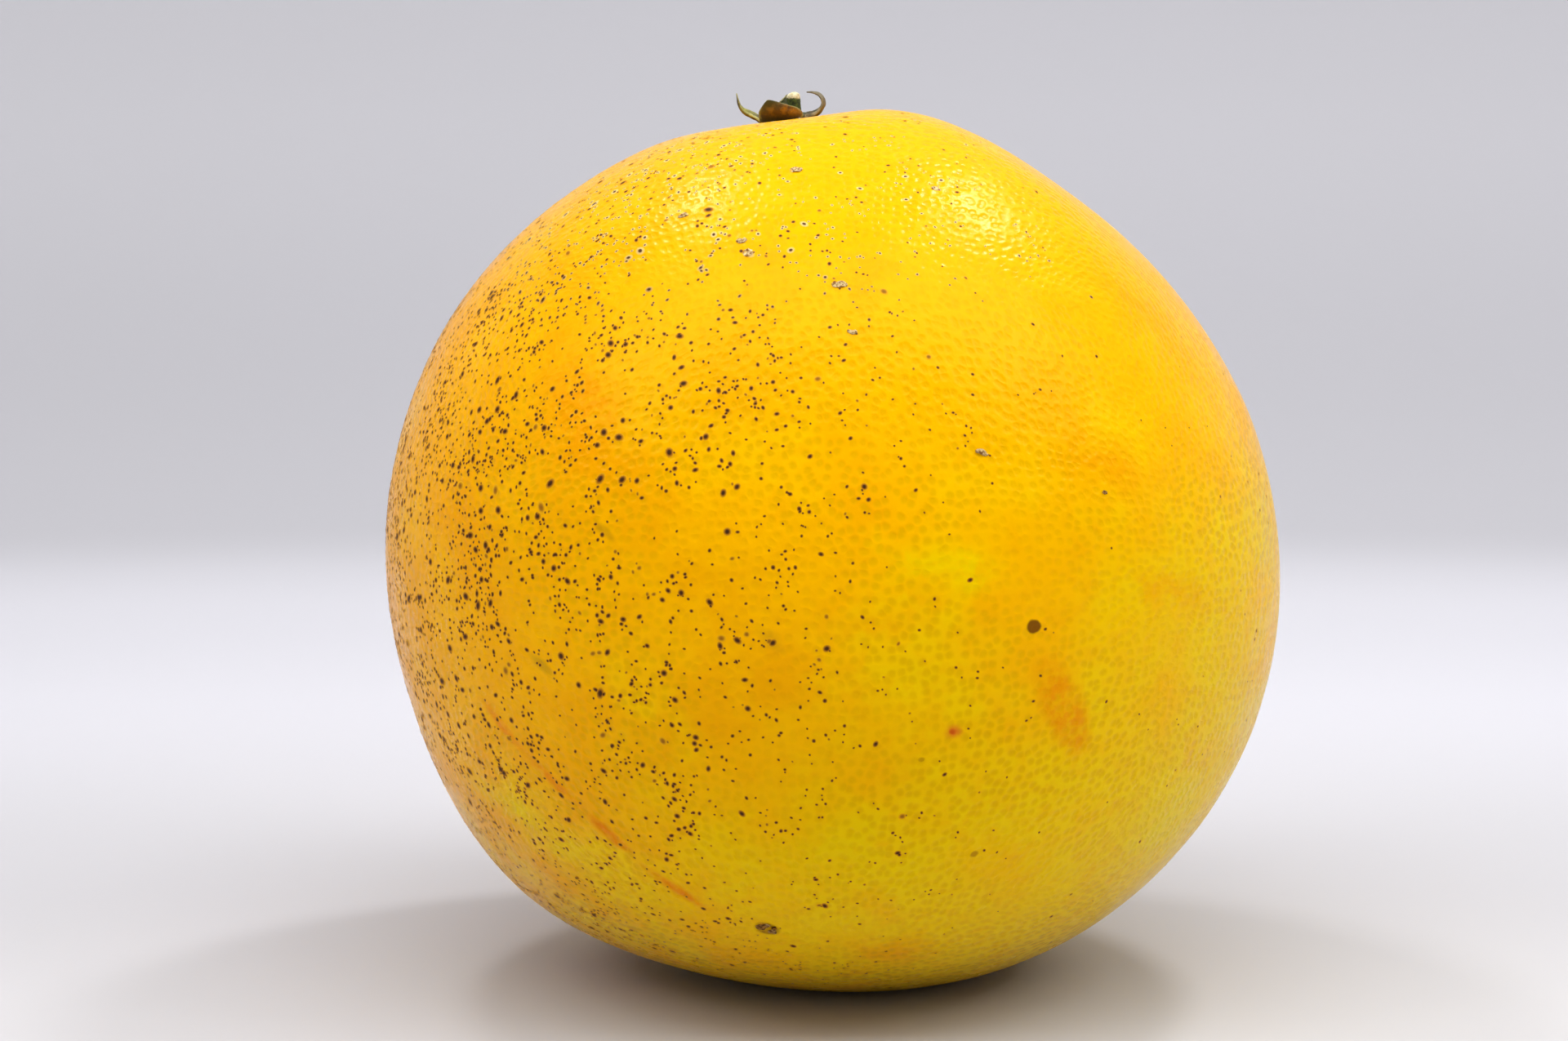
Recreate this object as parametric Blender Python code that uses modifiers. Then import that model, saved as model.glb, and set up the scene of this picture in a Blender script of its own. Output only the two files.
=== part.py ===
"""A pomelo: one whole fruit standing on its rest spot, with the dried calyx left on top.

Rind and flesh grew as one, so the fruit is one solid. The calyx is a disc with the stub of the
stalk and five dried sepals around it, each a piece of its own.
Units are metres. +Z is up, the front is -Y and +X is to the right. The origin is on the surface
that the fruit stands on, under the middle of the fruit.
"""

import math

import bmesh
import bpy
from mathutils import Matrix, Vector

MM = 0.001
GAP = 0.3 * MM  # between pieces that touch

# Fruit: half sizes of the ellipsoid that its skin starts from.
HALF_WIDTH = 74.4 * MM
HALF_DEPTH = 73.4 * MM
HALF_HEIGHT = 74.0 * MM
FACES_PER_SIDE = 20  # of the cube that is blown up into the skin
REST_FLATTENING = 1.9 * MM  # cut off the bottom, which leaves a rest spot about 34 mm across

# Rings around the fruit: latitude and spread in degrees, and how far they stand out.
RINGS = (
    (-45, 20, 2.0 * MM),  # full lower half
    (42, 24, -1.2 * MM),  # shoulders slope in to the stem
)

# Swellings and flats: longitude (0 is right, -90 is front), latitude and spread in degrees,
# and how far they stand out.
SWELLINGS = (
    (0, 46, 17, -1.7 * MM),  # long straight slope down from the right shoulder
    (0, 61, 9, -0.9 * MM),
    (-10, 77, 9, 0.5 * MM),  # right shoulder, as high as the stem
    (180, 72, 10, -0.3 * MM),
    (180, 35, 14, 0.9 * MM),  # round left shoulder
    (180, 8, 16, 0.6 * MM),
    (180, -50, 13, 2.8 * MM),  # lower left bulge
    (0, -25, 20, 2.2 * MM),  # right flank
    (0, -68, 16, 2.2 * MM),  # lower right
    (-88, 60, 9, -0.9 * MM),  # shallow valley down the front, between two shoulders
    (-128, 58, 12, 0.7 * MM),
    (-42, 60, 12, 0.8 * MM),
    (60, 48, 14, -0.9 * MM),  # the same unevenness behind
    (115, 52, 12, 0.8 * MM),
    (100, -5, 22, -0.9 * MM),
)

# Dimple around the stem.
STEM_LONGITUDE = 160
STEM_LATITUDE = 83.5
DIMPLE_SPREAD = 6.5
DIMPLE_DEPTH = 3.5 * MM

# Calyx, in the frame of the dimple's floor.
DISC_RADIUS = 4.3 * MM
DISC_THICKNESS = 0.9 * MM
STUB_RADIUS = 1.3 * MM
STUB_HEIGHT = 4.2 * MM
STUB_OFFSET = 1.9 * MM  # the stub stands right of the disc's middle
SEPAL_THICKNESS = 0.4 * MM
SEPAL_TIP_THICKNESS = 0.16 * MM
SEPAL_ROOT = DISC_RADIUS - 0.7 * MM  # distance of a sepal's root from the disc's middle


def direction(longitude, latitude):
    """Unit vector at a longitude and latitude in degrees."""
    longitude = math.radians(longitude)
    latitude = math.radians(latitude)
    level = math.cos(latitude)
    return Vector((level * math.cos(longitude), level * math.sin(longitude), math.sin(latitude)))


def bump(cosine, spread):
    """Smooth bump: 1 where the cosine of the angle to its middle is 1, spread in degrees."""
    return math.exp((cosine - 1.0) / math.radians(spread) ** 2)


def skin_point(towards):
    """Point of the skin in a direction from the fruit's middle."""
    rise = -DIMPLE_DEPTH * bump(towards.dot(direction(STEM_LONGITUDE, STEM_LATITUDE)), DIMPLE_SPREAD)
    latitude = math.asin(max(-1.0, min(1.0, towards.z)))
    for ring_latitude, spread, height in RINGS:
        rise += height * bump(math.cos(latitude - math.radians(ring_latitude)), spread)
    for longitude, swelling_latitude, spread, height in SWELLINGS:
        rise += height * bump(towards.dot(direction(longitude, swelling_latitude)), spread)
    point = Vector((towards.x * HALF_WIDTH, towards.y * HALF_DEPTH, towards.z * HALF_HEIGHT))
    return point * (1.0 + rise / point.length)


def new_material(name, colour, roughness):
    """Plain Principled material, its colour linear."""
    material = bpy.data.materials.new(name)
    material.use_nodes = True
    principled = material.node_tree.nodes["Principled BSDF"]
    principled.inputs["Base Color"].default_value = (*colour, 1.0)
    principled.inputs["Roughness"].default_value = roughness
    principled.inputs["Metallic"].default_value = 0.0
    return material


def add_object(name, mesh_data, material, collection, parent=None):
    """Turn a bmesh into a smooth-shaded object of the collection."""
    mesh = bpy.data.meshes.new(name)
    mesh_data.to_mesh(mesh)
    mesh_data.free()
    mesh.materials.append(material)
    mesh.shade_smooth()
    mesh.set_sharp_from_angle(angle=math.radians(40))
    new_object = bpy.data.objects.new(name, mesh)
    collection.objects.link(new_object)
    new_object.parent = parent
    return new_object


def make_fruit(material, collection):
    """Blow a cube up into the skin, cut the rest spot flat and stand it on the origin."""
    skin = bmesh.new()
    bmesh.ops.create_cube(skin, size=2.0)
    bmesh.ops.subdivide_edges(skin, edges=skin.edges[:], cuts=FACES_PER_SIDE - 1, use_grid_fill=True)
    for vertex in skin.verts:
        even = [math.tan(value * math.pi / 4.0) for value in vertex.co]
        vertex.co = skin_point(Vector(even).normalized())
    floor = min(vertex.co.z for vertex in skin.verts) + REST_FLATTENING
    bmesh.ops.bisect_plane(
        skin,
        geom=skin.verts[:] + skin.edges[:] + skin.faces[:],
        dist=0.02 * MM,
        plane_co=(0.0, 0.0, floor),
        plane_no=(0.0, 0.0, -1.0),
        clear_outer=True,
    )
    bmesh.ops.holes_fill(skin, edges=[edge for edge in skin.edges if edge.is_boundary])
    middle = [
        0.5 * (min(v.co[axis] for v in skin.verts) + max(v.co[axis] for v in skin.verts))
        for axis in (0, 1)
    ]
    shift = Vector((-middle[0], -middle[1], -floor))
    bmesh.ops.translate(skin, verts=skin.verts[:], vec=shift)
    for vertex in skin.verts:
        if abs(vertex.co.z) < 0.03 * MM:
            vertex.co.z = 0.0
    bmesh.ops.recalc_face_normals(skin, faces=skin.faces[:])
    fruit = add_object("fruit", skin, material, collection)
    return fruit, shift


def make_calyx_seat(shift, collection):
    """Empty on the floor of the dimple, its Z square to the skin and its X to the right."""
    stem = direction(STEM_LONGITUDE, STEM_LATITUDE)
    floor = skin_point(stem)
    to_right = skin_point((stem + Vector((0.01, 0.0, 0.0))).normalized()) - floor
    to_back = skin_point((stem + Vector((0.0, 0.01, 0.0))).normalized()) - floor
    square = to_right.cross(to_back).normalized()
    right = Vector((0.0, 1.0, 0.0)).cross(square).normalized()
    seat = bpy.data.objects.new("calyx_seat", None)
    seat.empty_display_size = 5.0 * MM
    collection.objects.link(seat)
    seat.rotation_euler = Matrix((right, square.cross(right), square)).transposed().to_euler()
    seat.location = floor + shift
    return seat


def make_disc(material, collection, seat):
    """Low disc with a rounded rim, where the sepals join. Its underside follows the dimple."""
    disc = bmesh.new()
    profile = (
        (DISC_RADIUS * 0.25, 0.0),
        (DISC_RADIUS * 0.92, 0.60 * DISC_THICKNESS),
        (DISC_RADIUS, 0.76 * DISC_THICKNESS),
        (DISC_RADIUS * 0.94, 0.92 * DISC_THICKNESS),
        (DISC_RADIUS * 0.70, DISC_THICKNESS),
    )
    start = [disc.verts.new((radius, 0.0, GAP + height)) for radius, height in profile]
    edges = [disc.edges.new(pair) for pair in zip(start, start[1:])]
    bmesh.ops.spin(
        disc,
        geom=start + edges,
        cent=(0.0, 0.0, 0.0),
        axis=(0.0, 0.0, 1.0),
        angle=math.tau,
        steps=24,
        use_merge=True,
    )
    bmesh.ops.holes_fill(disc, edges=[edge for edge in disc.edges if edge.is_boundary])
    bmesh.ops.recalc_face_normals(disc, faces=disc.faces[:])
    return add_object("calyx_disc", disc, material, collection, seat)


def make_stub(material, collection, seat):
    """Stub of the stalk: a short stem that leans a little, with a domed scar on top."""
    stub = bmesh.new()
    bmesh.ops.create_uvsphere(stub, u_segments=16, v_segments=10, radius=STUB_RADIUS)
    base = GAP + DISC_THICKNESS + GAP
    top = base + STUB_HEIGHT
    for vertex in stub.verts:
        height = vertex.co.z / STUB_RADIUS
        if height > 0.1:
            vertex.co.z = top - STUB_RADIUS * 0.75 * (1.0 - height)
        else:
            waist = 0.86 + 0.14 * abs(height)
            vertex.co.x *= waist
            vertex.co.y *= waist
            vertex.co.z = base + 0.5 * STUB_HEIGHT * (1.0 + height)
    bmesh.ops.translate(stub, verts=stub.verts[:], vec=(STUB_OFFSET, 0.0, 0.0))
    bmesh.ops.recalc_face_normals(stub, faces=stub.faces[:])
    return add_object("stalk_stub", stub, material, collection, seat)


def make_sepal(name, material, collection, seat, azimuth, length, width, lift, curl, bend, sweep, cup):
    """Pointed sepal: a flat grid bent along its length, cupped across it, and thickened.

    It leaves the disc along the azimuth at the angle of lift, and turns up by the angle of curl
    over the stretch of its length given by bend. Sweep carries its tip sideways, and cup folds
    its two edges up.
    """
    rows = 14
    columns = 6

    def slope(along):
        turned = max(0.0, min(1.0, (along - bend[0]) / (bend[1] - bend[0])))
        return math.radians(lift + curl * turned * turned * (3.0 - 2.0 * turned))

    spine = [Vector((SEPAL_ROOT, 0.0, 0.0))]
    for row in range(rows):
        angle = slope((row + 0.5) / rows)
        spine.append(spine[-1] + Vector((math.cos(angle), 0.0, math.sin(angle))) * (length / rows))

    sheet = bmesh.new()
    bmesh.ops.create_grid(sheet, x_segments=rows, y_segments=columns, size=1.0)
    tips = []
    for vertex in sheet.verts:
        along = 0.5 * (vertex.co.x + 1.0)
        across = vertex.co.y
        angle = slope(along)
        up = Vector((-math.sin(angle), 0.0, math.cos(angle)))
        half = 0.5 * width * (0.06 + 0.94 * math.cos(0.5 * math.pi * along ** 1.3))
        side = across * half + sweep * along ** 1.5
        fold = cup * half * across * across * min(1.0, 0.3 + 2.0 * along)
        vertex.co = spine[int(round(along * rows))] + up * fold + Vector((0.0, side, 0.0))
        tips.append(1.0 - along ** 2)
    bottom = GAP + DISC_THICKNESS + GAP
    lowest = min(vertex.co.z for vertex in sheet.verts)
    bmesh.ops.translate(sheet, verts=sheet.verts[:], vec=(0.0, 0.0, bottom - lowest))
    sepal = add_object(name, sheet, material, collection, seat)
    sepal.rotation_euler = (0.0, 0.0, math.radians(azimuth))
    body = sepal.vertex_groups.new(name="body")
    for index, weight in enumerate(tips):
        body.add([index], weight, "REPLACE")
    thickness = sepal.modifiers.new("thickness", "SOLIDIFY")
    thickness.thickness = SEPAL_THICKNESS
    thickness.offset = 1.0
    thickness.vertex_group = "body"
    thickness.thickness_vertex_group = SEPAL_TIP_THICKNESS / SEPAL_THICKNESS
    return sepal


def main():
    for existing in list(bpy.data.objects):
        bpy.data.objects.remove(existing, do_unlink=True)
    collection = bpy.data.collections.new("pomelo")
    bpy.context.scene.collection.children.link(collection)

    rind = new_material("yellow_rind", (0.93, 0.56, 0.005), 0.38)
    dry_green = new_material("dry_green_calyx", (0.06, 0.08, 0.01), 0.75)
    pith = new_material("cream_scar", (0.55, 0.50, 0.30), 0.80)
    straw = new_material("straw_sepal", (0.32, 0.30, 0.06), 0.70)
    brown = new_material("brown_sepal", (0.22, 0.09, 0.01), 0.70)

    fruit, shift = make_fruit(rind, collection)
    seat = make_calyx_seat(shift, collection)
    make_disc(dry_green, collection, seat)
    make_stub(pith, collection, seat)
    make_sepal(
        "sepal_left", straw, collection, seat,
        azimuth=186, length=7.4 * MM, width=2.8 * MM,
        lift=30, curl=62, bend=(0.35, 0.85), sweep=0.2 * MM, cup=0.5,
    )
    make_sepal(
        "sepal_front", brown, collection, seat,
        azimuth=262, length=3.9 * MM, width=7.4 * MM,
        lift=48, curl=35, bend=(0.0, 1.0), sweep=-1.5 * MM, cup=0.25,
    )
    make_sepal(
        "sepal_right", dry_green, collection, seat,
        azimuth=350, length=8.8 * MM, width=2.2 * MM,
        lift=-6, curl=185, bend=(0.05, 1.0), sweep=0.2 * MM, cup=0.5,
    )
    make_sepal(
        "sepal_rear", dry_green, collection, seat,
        azimuth=40, length=3.2 * MM, width=3.0 * MM,
        lift=-6, curl=18, bend=(0.0, 1.0), sweep=0.3 * MM, cup=0.4,
    )
    make_sepal(
        "sepal_back", dry_green, collection, seat,
        azimuth=96, length=4.3 * MM, width=4.6 * MM,
        lift=52, curl=35, bend=(0.0, 1.0), sweep=-1.5 * MM, cup=0.35,
    )


main()
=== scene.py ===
"""Pomelo: the finished looks of one whole yellow fruit with its dried calyx on top.

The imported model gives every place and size. A fine skin is grown over the fruit's solid, pinpricks
and corky scabs are strewn on that skin, and the calyx pieces are refined from their solids.
Lengths are in metres, angles in degrees. The front of the fruit is -Y.
"""

import math

import bmesh
import bpy
import numpy as np
from mathutils import Matrix, Vector, noise
from mathutils.bvhtree import BVHTree


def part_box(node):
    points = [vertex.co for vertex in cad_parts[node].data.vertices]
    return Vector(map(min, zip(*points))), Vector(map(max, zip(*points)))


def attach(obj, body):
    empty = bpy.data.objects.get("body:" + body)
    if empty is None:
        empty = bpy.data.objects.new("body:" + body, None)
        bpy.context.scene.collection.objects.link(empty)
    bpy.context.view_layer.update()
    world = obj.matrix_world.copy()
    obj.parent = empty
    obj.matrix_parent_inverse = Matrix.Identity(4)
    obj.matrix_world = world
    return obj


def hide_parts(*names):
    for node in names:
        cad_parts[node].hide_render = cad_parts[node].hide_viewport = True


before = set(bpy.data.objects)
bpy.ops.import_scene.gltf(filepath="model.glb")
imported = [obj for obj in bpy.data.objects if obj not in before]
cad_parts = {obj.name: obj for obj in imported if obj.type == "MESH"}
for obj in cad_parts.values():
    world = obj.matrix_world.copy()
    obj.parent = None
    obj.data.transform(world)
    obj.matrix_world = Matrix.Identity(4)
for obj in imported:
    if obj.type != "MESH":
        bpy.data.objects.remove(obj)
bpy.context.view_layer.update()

MM = 0.001
LOW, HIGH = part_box("fruit")
MIDDLE = 0.5 * (LOW + HIGH)  # middle of the fruit, which longitudes and latitudes are taken from
SEAT = 0.5 * (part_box("calyx_disc")[0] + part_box("calyx_disc")[1])

# Skin
SKIN_SQUARES = 104  # squares along each of the six sides that the skin is divided into
UNEVENNESS = 0.16 * MM
UNEVENNESS_SIZE = 17.0 * MM
GLAND_SPACING = 1.9  # mm, from one oil gland to the next
BROAD_MARK = 3.0  # mm; marks wider than this are patchy

# Pinpricks: dense on the left, rare on the right
SPECKLED_SIDE = Vector((-0.94, -0.33, 0.0)).normalized()
SPECKS_PER_CM2 = 32.0  # on the speckled side
STRAY_SPECKS_PER_CM2 = 0.8  # everywhere else
SQUARE_CM_PER_SQUARE_M = 10000.0
CROWN_SHARE = 0.38  # how far the crown of the fruit counts as speckled side
SINGLE_SHARE = 0.85  # of the crowding: pinpricks that stand alone
CHAIN_SHARE = 0.06  # of the crowding: places where a short chain of them starts
CHAIN_STEP = 0.85 * MM
CHAIN_JITTER = 0.8 * MM
SPECK_PATCH = 11.0 * MM
SMALLEST_SPECK = 0.32 * MM
USUAL_GROWTH = 0.32 * MM
RARE_GROWTH = 0.4 * MM
SPECK_LIFT = 0.008 * MM

# Scabs
SCAB_THICKNESS = 0.28 * MM
SCAB_LUMPS = 0.9 * MM

# Calyx
SINKING = 0.6 * MM  # how deep the roots of the sepals sink towards the rind
SETTLING = 1.3 * MM  # dried sepals closer to the rind than this sag onto it
WRINKLING = 0.07 * MM


def paint(code):
    """Colour such as "F2B500", given as sRGB hex, as linear red, green, blue and alpha."""
    levels = [int(code[place:place + 2], 16) / 255.0 for place in (0, 2, 4)]
    linear = [v / 12.92 if v <= 0.04045 else ((v + 0.055) / 1.055) ** 2.4 for v in levels]
    return (*linear, 1.0)


def add(tree, kind, sockets=None, stops=None, **settings):
    """Add a node with its settings and links.

    sockets maps a socket's name or number to a value, or to the output that feeds it.
    stops gives a colour ramp's positions and hex colours.
    """
    made = tree.nodes.new(kind)
    for setting, value in settings.items():
        setattr(made, setting, value)
    for socket, value in (sockets or {}).items():
        if isinstance(value, bpy.types.NodeSocket):
            tree.links.new(value, made.inputs[socket])
        else:
            made.inputs[socket].default_value = value
    if stops:
        ramp = made.color_ramp
        while len(ramp.elements) < len(stops):
            ramp.elements.new(0.5)
        for element, (position, code) in zip(ramp.elements, stops):
            element.position = position
            element.color = paint(code)
    return made


def link_object(name, mesh):
    """New object at the origin that shows a mesh."""
    made = bpy.data.objects.new(name, mesh)
    bpy.context.scene.collection.objects.link(made)
    return made


# ---------------------------------------------------------------- places on the fruit

FRUIT_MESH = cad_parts["fruit"].data
FRUIT_FORM = BVHTree.FromPolygons(
    [vertex.co.copy() for vertex in FRUIT_MESH.vertices],
    [tuple(polygon.vertices) for polygon in FRUIT_MESH.polygons],
)


def direction(longitude, latitude):
    """Unit vector at a longitude (0 is right, -90 is front) and a latitude."""
    longitude = math.radians(longitude)
    latitude = math.radians(latitude)
    level = math.cos(latitude)
    return Vector((level * math.cos(longitude), level * math.sin(longitude), math.sin(latitude)))


def on_skin(longitude, latitude):
    """Point of the fruit's surface and its outward normal."""
    ray = direction(longitude, latitude)
    point, normal, _, _ = FRUIT_FORM.ray_cast(MIDDLE, ray)
    return point, normal if normal.dot(ray) > 0 else -normal


# ---------------------------------------------------------------- materials

def new_material(name):
    """Empty node material: its tree, its Principled shader and its place in millimetres."""
    material = bpy.data.materials.new(name)
    material.use_nodes = True
    tree = material.node_tree
    shader = tree.nodes["Principled BSDF"]
    place = add(tree, "ShaderNodeTexCoord").outputs["Object"]
    millimetres = add(tree, "ShaderNodeVectorMath", {0: place, "Scale": 1.0 / MM}, operation="SCALE")
    return material, tree, shader, millimetres.outputs[0]


def mix(tree, factor, first, second):
    """Output of two colours mixed; each may be a hex code or an output."""
    first = paint(first) if isinstance(first, str) else first
    second = paint(second) if isinstance(second, str) else second
    sockets = {0: factor, 6: first, 7: second}
    return add(tree, "ShaderNodeMix", sockets, data_type="RGBA").outputs[2]


def fit(tree, value, low, high, to_low=0.0, to_high=1.0):
    """Output of a value eased from one range into another."""
    sockets = {"Value": value, "From Min": low, "From Max": high, "To Min": to_low, "To Max": to_high}
    return add(tree, "ShaderNodeMapRange", sockets, interpolation_type="SMOOTHSTEP").outputs[0]


def calc(tree, operation, first, second=0.0):
    """Output of one sum."""
    return add(tree, "ShaderNodeMath", {0: first, 1: second}, operation=operation).outputs[0]


def cloud(tree, place, size, detail=2.0, roughness=0.5):
    """Output of noise, whose patches are about the size in millimetres."""
    sockets = {"Vector": place, "Scale": 1.0 / size, "Detail": detail, "Roughness": roughness}
    return add(tree, "ShaderNodeTexNoise", sockets).outputs[0]


def stain(tree, place, ground, mark):
    """Colour output with one soft-edged mark laid over the ground colour.

    A mark is a colour and a strength, the longitudes and latitudes of its two ends, its width in
    millimetres, and how much of it is soft edge, from 0 to 1.
    """
    code, strength, start, end, width, softness = mark
    first, normal = on_skin(*start)
    last, _ = on_skin(*end)
    run = last - first
    half_length = 0.5 * run.length / MM + 0.5 * width
    along = (run - normal * run.dot(normal)).normalized() if run.length > 0 else normal.orthogonal()
    turn = Matrix((along, normal.cross(along), normal)).transposed().to_euler()
    middle, _, _, _ = FRUIT_FORM.find_nearest(0.5 * (first + last))
    local = add(
        tree,
        "ShaderNodeMapping",
        {
            "Vector": place,
            "Location": middle / MM,
            "Rotation": turn,
            "Scale": (half_length, 0.5 * width, max(0.5 * width, 0.12 * half_length)),
        },
        vector_type="TEXTURE",
    )
    distance = add(tree, "ShaderNodeVectorMath", {0: local.outputs[0]}, operation="LENGTH")
    mask = fit(tree, distance.outputs["Value"], 1.0 - softness, 1.0, strength, 0.0)
    if width > BROAD_MARK:
        patchy = fit(tree, cloud(tree, place, 2.8, 4.0, 0.7), 0.34, 0.62, 0.45, 1.15)
        mask = calc(tree, "MULTIPLY", mask, patchy)
    return mix(tree, mask, ground, code)


def shake(tree, place, size, amount):
    """Output of a place pushed about, so that what is drawn there gets ragged outlines."""
    push = add(tree, "ShaderNodeTexNoise", {"Vector": place, "Scale": 1.0 / size, "Detail": 3.0})
    sockets = {0: push.outputs["Color"], 1: [0.5] * 3}
    centred = add(tree, "ShaderNodeVectorMath", sockets, operation="SUBTRACT")
    sockets = {0: centred.outputs[0], 1: [amount] * 3, 2: place}
    return add(tree, "ShaderNodeVectorMath", sockets, operation="MULTIPLY_ADD").outputs[0]


def gland_net(tree, place, toward):
    """Output that is 1 in the middle of each oil gland and 0 between glands.

    The cells are laid flat on the peel from the six sides, which blend where they meet.
    """
    parts = add(tree, "ShaderNodeSeparateXYZ", {0: toward}).outputs
    middle = add(tree, "ShaderNodeVectorMath", {0: place, 1: MIDDLE / MM}, operation="SUBTRACT")
    spread = 0.5 * (HIGH.x - LOW.x) / MM
    total = 0.0
    weights = 0.0
    for axis in range(3):
        facing = calc(tree, "ABSOLUTE", parts[axis])
        weight = calc(tree, "POWER", facing, 12.0)
        slopes = [calc(tree, "DIVIDE", parts[(axis + step) % 3], facing) for step in (1, 2)]
        turned = [calc(tree, "ARCTANGENT", slope) for slope in slopes]
        flat = add(tree, "ShaderNodeCombineXYZ", {0: turned[0], 1: turned[1]}).outputs[0]
        uneven = add(tree, "ShaderNodeTexNoise", {"Vector": middle.outputs[0], "Scale": 1.0 / 3.5})
        sockets = {0: uneven.outputs["Color"], 1: [0.9 / spread] * 3, 2: flat}
        bent = add(tree, "ShaderNodeVectorMath", sockets, operation="MULTIPLY_ADD").outputs[0]
        cells = add(
            tree,
            "ShaderNodeTexVoronoi",
            {"Vector": bent, "Scale": spread / GLAND_SPACING, "Randomness": 0.75},
            voronoi_dimensions="2D",
        ).outputs["Distance"]
        blob = fit(tree, cells, 0.12, 0.55, 1.0, 0.0)
        total = calc(tree, "ADD", total, calc(tree, "MULTIPLY", blob, weight))
        weights = calc(tree, "ADD", weights, weight)
    return calc(tree, "DIVIDE", total, weights)


def rind_material():
    """Waxed pomelo rind: thick citrus peel, polished by its own wax.

    The oil glands under the wax break every highlight into a bright net around dull pits, and
    show on the flanks as darker dots. Blush, streaks and scars keep it from one flat yellow.
    """
    material, tree, shader, place = new_material("waxed pomelo rind")
    middle = add(tree, "ShaderNodeVectorMath", {0: place, 1: MIDDLE / MM}, operation="SUBTRACT")
    toward = add(tree, "ShaderNodeVectorMath", {0: middle.outputs[0]}, operation="NORMALIZE")
    sides = add(tree, "ShaderNodeSeparateXYZ", {0: toward.outputs[0]})
    shaken = shake(tree, place, 3.0, 0.9)
    wandering = shake(tree, place, 16.0, 18.0)

    # Ripe colour: golden yellow with lemon patches, and an orange blush that leans to the left.
    patches = cloud(tree, place, 24.0, 4.0, 0.55)
    # Painted shade tint: the rind turns more lemon towards the bottom, standing in for how the shaded
    # underside looks.
    underside_shade_tint = calc(tree, "MULTIPLY", sides.outputs["Z"], -0.30)
    rightward = calc(tree, "MULTIPLY", sides.outputs["X"], 0.16)
    unripe_and_shade_tint = calc(tree, "ADD", calc(tree, "ADD", underside_shade_tint, rightward), patches)
    ground = mix(tree, fit(tree, unripe_and_shade_tint, 0.42, 0.78), "FBB600", "F4CC00")
    blush = calc(tree, "SUBTRACT", cloud(tree, place, 17.0, 4.0, 0.6), rightward)
    ground = mix(tree, fit(tree, blush, 0.50, 0.74, 0.0, 0.8), ground, "F6A800")

    mottle = cloud(tree, place, 3.2, 4.0, 0.7)
    ground = mix(tree, fit(tree, mottle, 0.44, 0.72, 0.0, 0.35), ground, "EFA400")

    # Oil glands: soft round cells under the skin, darker and slightly sunken, in a paler net.
    gland = gland_net(tree, place, toward.outputs[0])
    visible = fit(tree, cloud(tree, place, 26.0), 0.35, 0.65, 0.15, 0.55)
    ground = mix(tree, calc(tree, "MULTIPLY", gland, visible), ground, "DCA400")

    for mark in FLUSHES:
        ground = stain(tree, wandering, ground, mark)
    for mark in STAINS:
        ground = stain(tree, shaken, ground, mark)
    tree.links.new(ground, shader.inputs["Base Color"])

    # Relief: gland pits, a fine grain between them, and the shallow hammered look of the peel.
    pits = calc(tree, "MULTIPLY", gland, -0.075)
    grain = calc(tree, "MULTIPLY", cloud(tree, place, 0.9, 2.0), 0.05)
    hammered = calc(tree, "MULTIPLY", cloud(tree, place, 5.0, 2.0), 0.20)
    height = calc(tree, "ADD", calc(tree, "ADD", pits, grain), hammered)
    sockets = {"Height": height, "Distance": MM, "Strength": 1.0}
    bump = add(tree, "ShaderNodeBump", sockets)
    tree.links.new(bump.outputs[0], shader.inputs["Normal"])

    dull = fit(tree, cloud(tree, place, 9.0, 3.0), 0.35, 0.70, 0.20, 0.32)
    tree.links.new(dull, shader.inputs["Roughness"])
    shader.inputs["IOR"].default_value = 1.20
    shader.inputs["Specular Tint"].default_value = (1.0, 0.82, 0.12, 1.0)
    return material


def speck_material():
    """Pinprick in citrus peel: a dead oil gland, dried dark, in a ring of stained rind.

    A few are faint, and many of those near the top have a pale ring: partly healed rind, partly a painted
    highlight where light from above catches the pit's rim.
    """
    material, tree, shader, place = new_material("dried gland pinprick")
    outward = add(tree, "ShaderNodeAttribute", attribute_name="outward").outputs["Fac"]
    tone = add(tree, "ShaderNodeAttribute", attribute_name="tone").outputs["Fac"]
    dark, pale, faint = [
        add(tree, "ShaderNodeValToRGB", {0: outward}, stops=stops).outputs["Color"]
        for stops in (
            ((0.0, "35200C"), (0.38, "4C2C0C"), (0.64, "A8660A"), (1.0, "F2B000")),
            ((0.0, "3A2410"), (0.36, "6A4420"), (0.52, "E2C684"), (1.0, "F4C030")),
            ((0.0, "8A560C"), (0.45, "AC700C"), (0.70, "DE9C00"), (1.0, "F2B200")),
        )
    ]
    # Pale rings only near the top: partly healed rind, partly a painted highlight on the rim.
    high = add(tree, "ShaderNodeSeparateXYZ", {0: place}).outputs["Z"]
    near_top = fit(tree, high, 112.0, 132.0)
    healed_and_lit_rim = calc(tree, "MULTIPLY", near_top, calc(tree, "LESS_THAN", tone, 0.6))
    colour = mix(tree, calc(tree, "GREATER_THAN", tone, 0.88), dark, faint)
    colour = mix(tree, healed_and_lit_rim, colour, pale)
    tree.links.new(colour, shader.inputs["Base Color"])
    shader.inputs["Roughness"].default_value = 0.55
    shader.inputs["Specular IOR Level"].default_value = 0.1
    return material


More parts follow.
